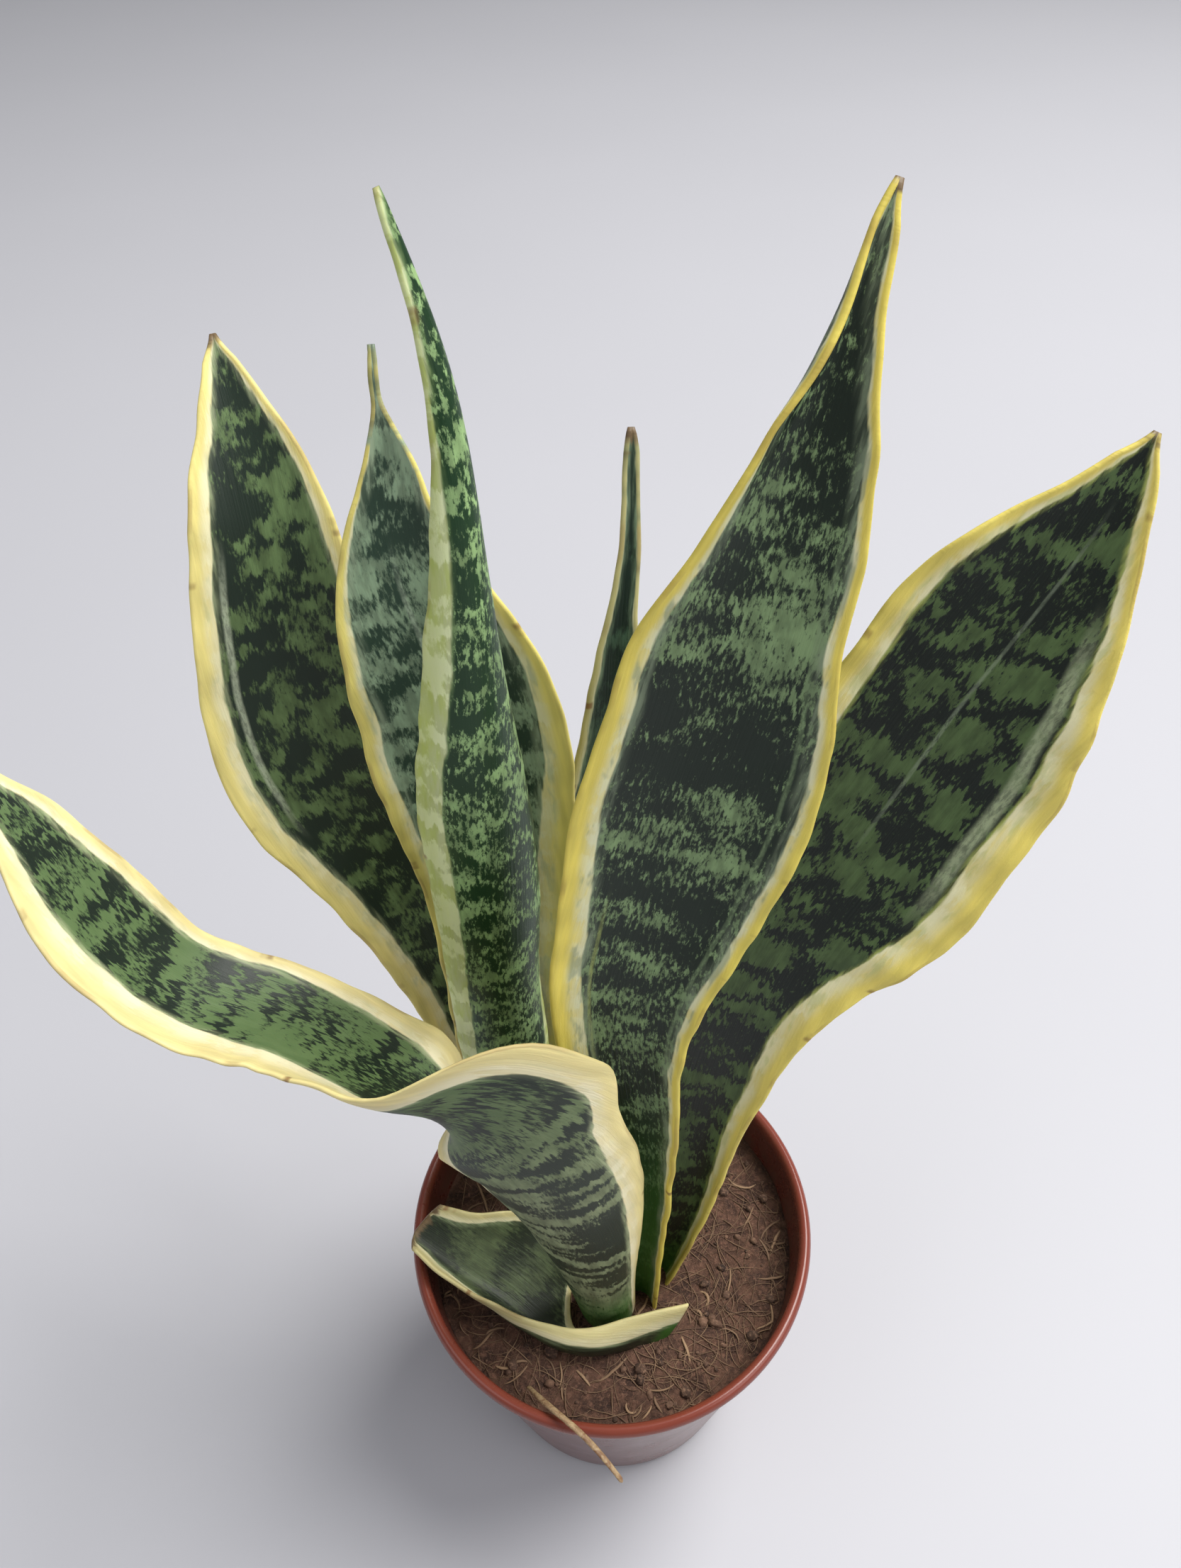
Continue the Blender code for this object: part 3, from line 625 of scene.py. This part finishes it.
def leaf_finish(name, look, length):
    """Cross-banded dark and light green, cream margins, pale stripes, dry tip and scarred edges."""
    paint = Finish(name, 0.4)
    seed = float(look["seed"])
    along = paint.stored("along")
    across = paint.stored("across")
    share = paint.stored("share")
    reach = paint.stored("reach")
    rim = paint.stored("rim")
    inset = paint.stored("inset")
    turn_from, turn_to = (part * length for part in UPPER_PART)

    def grain(by_across, by_along, shift, detail=2.0, rough=0.55):
        """Noise with so many spots per millimetre across and along the leaf."""
        spot = paint.vector(paint.times(across, by_across), paint.times(along, by_along), seed + shift)
        return paint.noise(spot, 1.0, detail, rough)

    def off_middle(value):
        return paint.minus(value, 0.5)

    # the mottling, from 0 where it is dark to 1 where it is light
    streak = grain(0.6, 0.08, 1.0, 3.0, 0.6)
    fine = grain(1.15, 0.40, 5.0, 5.0, 0.68)
    pores = grain(3.5, 1.6, 7.0, 2.0, 0.6)
    jag = paint.step(along, turn_from, turn_to, look["jag"], look["jag_high"])
    torn = paint.times_plus(off_middle(streak), jag, along)
    spot = paint.vector(paint.times(across, look["run"]), paint.over(torn, look["period"]), seed + 9)
    band = paint.noise(spot, 1.0, 1.6, 0.5)
    patch = grain(0.05, 0.025, 13.0, 1.0)
    level = paint.times_plus(patch, 0.35, paint.times(band, 0.8))
    level = paint.times_plus(off_middle(fine), look["speckle"], level)
    for centre, width, strength in look["zones"]:
        away = paint.over(paint.minus(along, float(centre)), float(width))
        bell = paint.math("SUBTRACT", 1.0, paint.times(away, away), clamp=True)
        level = paint.times_plus(bell, float(strength), level)
    edge = MIDDLE_LEVEL + (0.5 - look["cover"]) * 0.45
    if look["net"]:
        from_middle = paint.math("ABSOLUTE", paint.minus(level, MIDDLE_LEVEL))
        level = paint.plus(from_middle, edge - look["net"])
    light = paint.step(level, edge - look["soft"], edge + look["soft"])

    # the green blade
    dark_tone = paint.mix(grain(0.08, 0.03, 21.0), tone(look["dark"], 0.8), tone(look["dark"], 1.35))
    light_spots = paint.step(grain(0.35, 0.12, 25.0, 3.0), 0.35, 0.65)
    light_tone = paint.mix(light_spots, tone(look["light"], 0.75), tone(look["light"], 1.25))
    green = paint.mix(light, dark_tone, light_tone)
    deeper = paint.step(along, turn_from, turn_to, 0.0, look["deep"])
    green = paint.mix(deeper, green, paint.mix(light, colour(DEEP_DARK), colour(DEEP_LIGHT)))
    young_to = float(look["base_green"])
    young = paint.step(along, young_to * 0.35, young_to, 1.0, 0.0)
    green = paint.mix(paint.times(young, 0.75), green, colour(YOUNG_GREEN))

    # lengthwise stripes
    wander = paint.times(off_middle(grain(0.0, 0.03, 31.0)), 1.2)
    for place, half, start, end, strength, code in look["stripes"]:
        away = paint.times(paint.minus(share, float(place)), reach)
        away = paint.math("ABSOLUTE", paint.plus(away, wander))
        body = paint.step(away, half * 0.4, half * 1.5, strength, 0.0)
        ends = paint.times(paint.step(along, start - 8.0, start + 12.0),
                           paint.step(along, end - 12.0, end + 8.0, 1.0, 0.0))
        broken = paint.step(fine, 0.34, 0.6, 0.45, 1.0)
        green = paint.mix(paint.times(paint.times(body, ends), broken), green, colour(code))

    # a grey-green veil where the blade and the margin overlap
    shaky = paint.times_plus(off_middle(grain(0.5, 0.09, 41.0)), 1.6, inset)
    veil = paint.times(paint.step(shaky, 0.1, look["haze"], 1.0, 0.0),
                       paint.step(streak, 0.40, 0.62, 0.15, 0.8))
    green = paint.mix(veil, green, colour(look["veil"]))

    # the margins, yellower at the rim and paler inside
    band_width = paint.math("MAXIMUM", paint.minus(rim, inset), 0.2)
    inner = paint.step(paint.over(rim, band_width), 0.25, 0.95, look["even"], 1.0)
    yellow_spots = paint.step(grain(0.35, 0.05, 45.0), 0.35, 0.7)
    cream = paint.mix(yellow_spots, tone(look["yellow"], 0.9), tone(look["yellow"], 1.1))
    paler = paint.times(inner, paint.step(streak, 0.35, 0.6, 0.45, 0.8))
    cream = paint.mix(paler, cream, tone(look["pale"], 1.0 - 0.5 * look["even"]))
    blotch = paint.times_plus(off_middle(fine), 0.3, band)
    blotch = paint.times(paint.step(blotch, 0.46, 0.56), inner)
    cream = paint.mix(paint.times(blotch, 0.7), cream, tone(look["pale"], 1.08))
    tint = paint.step(grain(0.30, 0.09, 49.0, 3.0), 0.50, 0.62, 0.0, look["tint"])
    cream = paint.mix(paint.times(tint, paint.step(inner, 0.1, 0.6)), cream, colour(look["veil"]))
    outer = paint.step(shaky, -0.35, 0.25, 1.0, 0.0)
    skin = paint.mix(outer, green, cream)

    # dry scars along the edge and the dry tip
    scar_place = paint.vector(paint.times(along, 0.11), paint.math("SIGN", share), seed + 60)
    scar_spots = paint.step(paint.noise(scar_place, 1.0, 2.0), 0.62, 0.68, 0.0, 0.85)
    scar = paint.times(scar_spots, paint.step(rim, 0.3, 1.2, 1.0, 0.0))
    worn = paint.times(paint.step(rim, 0.05, 0.4, 0.35, 0.0),
                       paint.step(grain(0.05, 0.06, 55.0), 0.5, 0.65))
    skin = paint.mix(paint.math("MAXIMUM", scar, worn), skin, colour(SCAR_BROWN))
    if look["dry_tip"]:
        dry_from = length - look["dry_tip"]
        ragged = paint.times_plus(off_middle(streak), 8.0, along)
        dry = paint.step(ragged, dry_from - 1.5, dry_from + 0.8)
        skin = paint.mix(dry, skin, paint.mix(fine, colour(DRY_DARK), colour(DRY_LIGHT)))
    paint.colour(skin)

    # satin skin with fine lengthwise ribs
    ribs = grain(2.2, 0.03, 71.0, 2.0)
    height = paint.plus(paint.times(ribs, 0.6), paint.times(pores, 0.2))
    paint.bump(paint.times_plus(light, 0.15, height), 0.00018, 0.8)
    matt = paint.times_plus(pores, 0.12, 0.34)
    paint.rough(paint.times_plus(paint.math("MAXIMUM", light, outer), 0.08, matt))
    paint.shader.inputs["Specular IOR Level"].default_value = 0.35
    paint.shader.inputs["Subsurface Weight"].default_value = 0.03
    paint.shader.inputs["Subsurface Scale"].default_value = 0.002
    return paint.material


def dress(made, material, slot, *nodes):
    """Gives a piece its material and its place in the frame."""
    made.data.materials.clear()
    made.data.materials.append(material)
    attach(made, ROOT)
    if nodes:
        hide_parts(*nodes)


# ---- leaves ----
for leaf_name, shape in LEAVES.items():
    look = {**PLAIN_LOOK, **LOOKS[leaf_name]}
    path, length = leaf_path(shape)
    blade = leaf_mesh(leaf_name + "_blade", shape, look, path, length)
    dress(blade, leaf_finish(leaf_name + "_skin", look, length), "leaf", leaf_name)


# ---- pot ----
def outer_radius(height):
    return POT_FOOT_RADIUS + WALL_SLOPE * height


def inner_radius(height):
    return outer_radius(height) - WALL


def lip_arc(centre_r, centre_z, radius_r, radius_z, start, end, count):
    """Points on part of the lip's rounded outline."""
    turns = np.radians(np.linspace(start, end, count))
    return [(centre_r + radius_r * cos(t), centre_z + radius_z * sin(t)) for t in turns]


lip_low = POT_HEIGHT - LIP_DEPTH
outline = [(0.0, 0.0), (8.0, 0.0), (20.0, 0.0), (POT_FOOT_RADIUS - 2.0, 0.0)]
outline += lip_arc(POT_FOOT_RADIUS - 1.6, 1.6, 1.6, 1.6, -80, -10, 5)
outline += [(outer_radius(z), z) for z in (4, 10, 20, 32, 44, 56, 68, 80, 90, lip_low - 0.6)]
outline += lip_arc(POT_RIM_RADIUS - 1.75, POT_HEIGHT - 2.3, 1.75, 2.3, -55, 180, 16)
outline += [(inner_radius(lip_low - 2), lip_low - 2)]
outline += [(inner_radius(z), z) for z in (90, 80, 68, 56, 44, 32, 20, 10, FLOOR + 2)]
outline += [(inner_radius(FLOOR) - 0.8, FLOOR + 0.3), (inner_radius(FLOOR) - 2, FLOOR), (20.0, FLOOR),
            (8.0, FLOOR), (0.0, FLOOR)]
shell = lathe("pot_shell", outline, POT_SIDES)
drill_outline = [(0, -2), (HOLE_DIAMETER / 2, -2), (HOLE_DIAMETER / 2, FLOOR + 2), (0, FLOOR + 2)]
for i in range(HOLE_COUNT):
    turn = 2 * pi * (i + HOLE_SHIFT) / HOLE_COUNT
    drill = lathe("drill", drill_outline, HOLE_SIDES, smooth=False)
    drill.location = (HOLE_RING_RADIUS * cos(turn) * MM, HOLE_RING_RADIUS * sin(turn) * MM, 0)
    cut = shell.modifiers.new("hole", "BOOLEAN")
    cut.operation = "DIFFERENCE"
    cut.solver = "EXACT"
    cut.object = drill
    bpy.context.view_layer.update()
    graph = bpy.context.evaluated_depsgraph_get()
    result = bpy.data.meshes.new_from_object(shell.evaluated_get(graph))
    shell.modifiers.clear()
    shell.data = result
    bpy.data.objects.remove(drill, do_unlink=True)
shell.data.polygons.foreach_set("use_smooth", [True] * len(shell.data.polygons))
shading = shell.modifiers.new("even shading", "WEIGHTED_NORMAL")
shading.keep_sharp = True


def pot_finish():
    """Moulded terracotta-red plastic: glossy, faintly streaked, scuffed and dusty inside, with painted
    light on the lip.
    """
    paint = Finish("terracotta_plastic", 0.3)
    spot = paint.place()
    apart = paint.tree.nodes.new("ShaderNodeSeparateXYZ")
    paint.put(spot, apart.inputs[0])
    height = apart.outputs["Z"]
    far = paint.math("SQRT", paint.plus(paint.times(apart.outputs["X"], apart.outputs["X"]),
                                        paint.times(apart.outputs["Y"], apart.outputs["Y"])))
    broad = paint.noise(spot, 22.0, 2.0)
    speck = paint.noise(spot, 900.0, 3.0, 0.7)
    body = paint.mix(broad, colour("5e2d26"), colour("6b352c"))

    # painted light: the lip is the same plastic as the body, painted a little brighter as if better lit,
    # while the body colour is kept darker as painted shade
    lip = paint.step(height, POT_HEIGHT * MM * 0.955, POT_HEIGHT * MM * 0.985)
    body = paint.mix(lip, body, colour("7c3a2c"))

    # inside, dust from the soil that thins out towards the lip
    middle_of_wall = paint.times_plus(height, WALL_SLOPE, (POT_FOOT_RADIUS - WALL * 0.5) * MM)
    inside = paint.math("LESS_THAN", far, middle_of_wall)
    dusty = paint.times(inside, paint.step(height, DUST_THICK * MM, DUST_THIN * MM, 0.75, 0.1))
    dusty = paint.times(dusty, paint.step(paint.noise(spot, 130.0, 3.0, 0.65), 0.35, 0.6))
    body = paint.mix(dusty, body, colour("5a4034"))

    # scuffs
    body = paint.mix(paint.times(paint.step(speck, 0.62, 0.72), 0.25), body, colour("84594c"))
    paint.colour(body)
    wear = paint.noise(spot, 60.0, 4.0, 0.7)
    paint.rough(paint.times_plus(dusty, 0.4, paint.times_plus(wear, 0.22, 0.14)))
    paint.bump(paint.plus(paint.times(wear, 0.5), paint.times(speck, 0.12)), 0.00012, 0.6)
    return paint.material


dress(shell, pot_finish(), "pot", "pot")


# ---- soil ----
def ground(x, y):
    """The height of the soil, uneven and a little lower at the wall."""
    broad = 1.6 * noise.noise(Vector((x * 0.045, y * 0.045, 3.1)))
    lumpy = 0.9 * noise.noise(Vector((x * 0.16, y * 0.16, 8.4)))
    small = 0.38 * noise.noise(Vector((x * 0.55, y * 0.55, 1.7)))
    fine = 0.22 * noise.noise(Vector((x * 1.5, y * 1.5, 5.2)))
    edge = (x * x + y * y) ** 0.5 / inner_radius(SOIL_TOP)
    return SOIL_TOP + (broad + lumpy + small) + fine - 1.3 * max(0.0, edge - 0.8) / 0.2


def soil_mesh():
    """The bed: an uneven top, then plain rings down the wall to the pot's floor."""
    bottom = FLOOR + 0.4
    lower = (SOIL_TOP - 4, 60.0, 30.0, bottom)
    limit = inner_radius(SOIL_TOP) - 0.15
    corners, faces = [(0.0, 0.0, ground(0, 0))], []
    for ring in range(1, SOIL_RINGS + 1):
        radius = limit * ring / SOIL_RINGS
        for i in range(SOIL_SIDES):
            turn = 2 * pi * i / SOIL_SIDES
            x = radius * cos(turn)
            y = radius * sin(turn)
            corners.append((x, y, ground(x, y)))
    for height in lower:
        radius = inner_radius(height) - 0.3
        for i in range(SOIL_SIDES):
            turn = 2 * pi * i / SOIL_SIDES
            corners.append((radius * cos(turn), radius * sin(turn), height))
    corners.append((0.0, 0.0, bottom))
    all_rings = SOIL_RINGS + len(lower)
    for i in range(SOIL_SIDES):
        j = (i + 1) % SOIL_SIDES
        faces.append((0, 1 + i, 1 + j))
        for ring in range(all_rings - 1):
            here = 1 + ring * SOIL_SIDES
            under = here + SOIL_SIDES
            faces.append((here + i, under + i, under + j, here + j))
        here = 1 + (all_rings - 1) * SOIL_SIDES
        faces.append((here + i, len(corners) - 1, here + j))
    made = add_object("soil_bed", corners, faces)
    face_outwards(made)
    return made


def soil_finish():
    paint = Finish("coir_soil", 0.9)
    spot = paint.place()
    lump = paint.noise(spot, 160.0, 4.0, 0.65)
    crumb = paint.noise(spot, 620.0, 5.0, 0.75, 0.6)
    hair = paint.noise(spot, 1500.0, 3.0, 0.7, 2.5)
    body = paint.mix(paint.step(lump, 0.32, 0.68), colour("34211a"), colour("674838"))
    body = paint.mix(paint.step(crumb, 0.45, 0.72), body, colour("85604d"))
    body = paint.mix(paint.times(paint.step(hair, 0.55, 0.68), 0.5), body, colour("9c7a64"))
    paint.colour(body)
    paint.bump(paint.plus(paint.times(crumb, 0.7), paint.times(hair, 0.3)), 0.0012, 1.0)
    return paint.material


dress(soil_mesh(), soil_finish(), "soil", "soil")

chance = np.random.RandomState(7)


def free_spot(limit):
    """A place on the soil, evenly spread over the pot."""
    radius = limit * chance.uniform() ** 0.5
    turn = chance.uniform(0, 2 * pi)
    return radius * cos(turn), radius * sin(turn)


def fibre(lengths, widths, shades, flat, lift):
    """One curved fibre on the soil, turned away from the wall, its ends dipping in."""
    limit = inner_radius(SOIL_TOP) - 1.0
    x, y = free_spot(limit - 1.0)
    heading = chance.uniform(0, 2 * pi)
    bend = chance.normal(0, 0.16)
    ahead = chance.uniform(*lengths) / (FIBRE_POINTS - 1)
    points = []
    for k in range(FIBRE_POINTS):
        arch = lift * sin(pi * k / (FIBRE_POINTS - 1)) * chance.uniform(0.7, 1.0)
        points.append((x, y, ground(x, y) + arch - 0.1))
        next_x = x + ahead * cos(heading)
        next_y = y + ahead * sin(heading)
        if next_x * next_x + next_y * next_y > limit * limit:
            heading += 0.9
            next_x = x + ahead * cos(heading)
            next_y = y + ahead * sin(heading)
            if next_x * next_x + next_y * next_y > limit * limit:
                heading += 1.2
                next_x, next_y = x * 0.96, y * 0.96
        x, y = next_x, next_y
        heading += bend + chance.normal(0, 0.08)
    width = chance.uniform(*widths)
    radii = [width * (0.35 + 0.65 * sin(pi * (k + 0.6) / FIBRE_POINTS)) for k in range(FIBRE_POINTS)]
    return points, radii, flat, chance.uniform(*shades)


litter = [fibre((5, 20), (0.07, 0.17), (0.05, 0.6), 0.8, 0.6) for k in range(THIN_FIBRES)]
litter += [fibre((4, 13), (0.25, 0.5), (0.2, 0.85), 0.35, 0.7) for k in range(FLAT_FIBRES)]
fibres = strands("soil_fibres", litter)


def fibre_finish():
    paint = Finish("coir_fibres", 0.8)
    shade = paint.stored("shade")
    spot = paint.place()
    body = paint.mix(shade, colour("4a3428"), colour("b0916f"))
    body = paint.mix(paint.times(paint.noise(spot, 700.0, 2.0), 0.5), body, colour("6b4d3b"))
    paint.colour(body)
    paint.bump(paint.noise(spot, 2500.0, 2.0), 0.0001, 0.6)
    return paint.material


dress(fibres, fibre_finish(), "soil")


def crumbs_mesh():
    """Crumbs of peat and bark, each a dented ball half sunk in the soil."""
    corners, faces, shades = [], [], []
    for k in range(CRUMBS):
        x, y = free_spot(inner_radius(SOIL_TOP) - 3.0)
        size = 0.4 + 1.2 * chance.uniform() ** 3
        stretch = chance.uniform(0.7, 1.5, 3)
        spin = Matrix.Rotation(chance.uniform(0, pi), 3, "Z")
        turn = spin @ Matrix.Rotation(chance.uniform(0, pi), 3, "X")
        ball = bmesh.new()
        bmesh.ops.create_icosphere(ball, subdivisions=2, radius=1.0)
        start = len(corners)
        shade = chance.uniform(0, 0.8)
        centre = Vector((x, y, ground(x, y) + size * 0.15))
        for vertex in ball.verts:
            dent = 1 + 0.38 * noise.noise(vertex.co * 1.6 + Vector((k * 3.1, 0, 0)))
            stretched = Vector([c * s for c, s in zip(vertex.co, stretch)])
            corners.append(centre + turn @ stretched * size * dent)
            shades.append(shade)
        faces += [tuple(start + v.index for v in face.verts) for face in ball.faces]
        ball.free()
    return add_object("soil_crumbs", corners, faces, {"shade": shades})


def crumb_finish():
    paint = Finish("peat_crumbs", 0.92)
    spot = paint.place()
    rough = paint.noise(spot, 900.0, 4.0, 0.7)
    body = paint.mix(paint.stored("shade"), colour("30221b"), colour("7b5c49"))
    paint.colour(paint.mix(paint.step(rough, 0.45, 0.7), body, colour("8a6b56")))
    paint.bump(rough, 0.0005, 1.0)
    return paint.material


dress(crumbs_mesh(), crumb_finish(), "soil")


# ---- dry straw over the rim ----
def rim_spot(turn, outwards, above):
    """A point near the rim: degrees round the pot, and millimetres outwards and above."""
    radius = POT_RIM_RADIUS + outwards
    return (radius * cos(radians(turn)), radius * sin(radians(turn)), POT_HEIGHT + above)


straw_path = smooth_line([rim_spot(-120, -9.4, -10), rim_spot(-109, -4, 1.5), rim_spot(-98.4, 1.7, 2.6),
                          rim_spot(-93.5, 6.1, 1.0), rim_spot(-90, 10, -3)], STRAW_POINTS)[0]
straw_width = [0.75 + 0.3 * sin(pi * k / STRAW_POINTS) + 0.06 * ripple(k * 0.25, 4)
               for k in range(STRAW_POINTS - 1)] + [0.3]
straw = strands("straw_stalk", [(straw_path, straw_width, 0.55, 0.9)])


def straw_finish():
    paint = Finish("dry_straw", 0.6)
    spot = paint.place()
    streaks = paint.noise(spot, 420.0, 4.0, 0.7, 1.0)
    paint.colour(paint.mix(paint.step(streaks, 0.35, 0.65), colour("7d5c40"), colour("b39a74")))
    paint.bump(paint.noise(spot, 1600.0, 3.0), 0.0002, 0.8)
    return paint.material


dress(straw, straw_finish(), "straw", "straw")


# ---- rhizome, hidden in the soil ----
def rhizome_finish():
    paint = Finish("rhizome_skin", 0.65)
    spot = paint.place()
    rings = paint.noise(spot, 210.0, 3.0, 0.6)
    body = paint.mix(rings, colour("a8814a"), colour("d2b07a"))
    paint.colour(paint.mix(paint.step(paint.noise(spot, 700.0, 3.0), 0.5, 0.7), body, colour("7d5a34")))
    paint.bump(rings, 0.0006, 0.8)
    return paint.material


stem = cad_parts["rhizome"]
for slot in stem.material_slots:
    slot.material = rhizome_finish()

# ---- floor ----
floor_corners = [(x * FLOOR_REACH, y * FLOOR_REACH, 0) for x, y in ((-1, -1), (1, -1), (1, 1), (-1, 1))]
ground_plane = add_object("floor", floor_corners, [(0, 1, 2, 3)])


def floor_finish():
    paint = Finish("pale_floor", 0.55)
    paint.colour(paint.mix(paint.noise(paint.place(), 3.0, 2.0), colour("bcbcc2"), colour("c0c0c6")))
    return paint.material


ground_plane.data.materials.append(floor_finish())


# ---- light ----
world = bpy.data.worlds.new("studio")
bpy.context.scene.world = world
world.use_nodes = True
world.node_tree.nodes["Background"].inputs["Color"].default_value = WORLD_TINT
world.node_tree.nodes["Background"].inputs["Strength"].default_value = WORLD_STRENGTH


def soft_light(name, place, size, power, tint):
    """A round lamp that looks at the middle of the plant."""
    lamp = bpy.data.lights.new(name, "AREA")
    lamp.shape = "DISK"
    lamp.size = size
    lamp.energy = power
    lamp.color = tint
    holder = bpy.data.objects.new(name, lamp)
    bpy.context.scene.collection.objects.link(holder)
    holder.location = place
    aim = Vector(LIGHT_TARGET) - Vector(place)
    holder.rotation_mode = "QUATERNION"
    holder.rotation_quaternion = aim.to_track_quat("-Z", "Y")


soft_light("key", (1.30, 0.55, 2.60), 1.8, 98.0, (1.0, 0.99, 0.96))
soft_light("left fill", (-2.00, -0.80, 2.30), 2.2, 13.0, (0.96, 0.98, 1.0))
soft_light("right fill", (2.20, -1.20, 1.90), 2.2, 26.0, (0.98, 0.98, 1.0))

# ---- camera ----
forward = Vector((0.0, cos(CAMERA_DIP), -sin(CAMERA_DIP)))
upward = Vector((0.0, sin(CAMERA_DIP), cos(CAMERA_DIP)))
rightward = Vector((1.0, 0.0, 0.0))
camera_x = cos(CAMERA_ROLL) * rightward + sin(CAMERA_ROLL) * upward
camera_y = cos(CAMERA_ROLL) * upward - sin(CAMERA_ROLL) * rightward
eye = bpy.data.cameras.new("camera")
eye.sensor_width = SENSOR_WIDTH
eye.lens = CAMERA_LENS
eye.clip_start = 0.01
camera = bpy.data.objects.new("camera", eye)
bpy.context.scene.collection.objects.link(camera)
turned = Matrix((camera_x, camera_y, -forward)).transposed().to_4x4()
camera.matrix_world = Matrix.Translation(CAMERA_PLACE) @ turned
bpy.context.scene.camera = camera
bpy.context.scene.view_settings.view_transform = "Standard"
